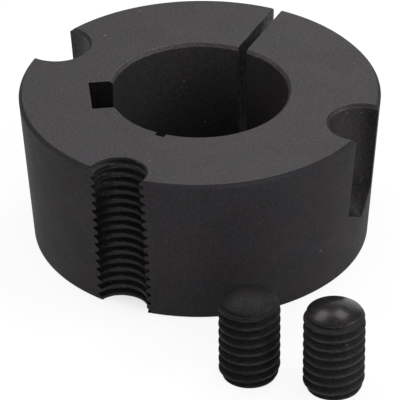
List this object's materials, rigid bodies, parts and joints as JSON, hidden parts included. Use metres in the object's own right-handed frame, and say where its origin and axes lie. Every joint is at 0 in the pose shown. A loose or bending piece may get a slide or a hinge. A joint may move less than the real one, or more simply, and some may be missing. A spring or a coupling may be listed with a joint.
{
  "type": "taper bush",
  "caption": "Split taper bush with a keyed bore and half-round screw holes in its tapered side, with its domed socket set screws standing beside it.",
  "frame": {"origin": "centre of the bore in the plane of the small end face, which is the face that the bush stands on", "axes": "+Z along the bore axis towards the large end; +Y from the bore axis towards the split in the wall"},
  "size_m": [0.0712, 0.0665, 0.0254],
  "materials": {
    "bush_iron": "fine-turned iron, chemically blackened and lightly oiled, satin",
    "screw_steel": "hardened alloy steel, blackened, semi-gloss"
  },
  "bodies": {
    "root": {"bush": "bush_iron", "set_screw_1": "screw_steel", "set_screw_2": "screw_steel"}
  },
  "joints": []
}
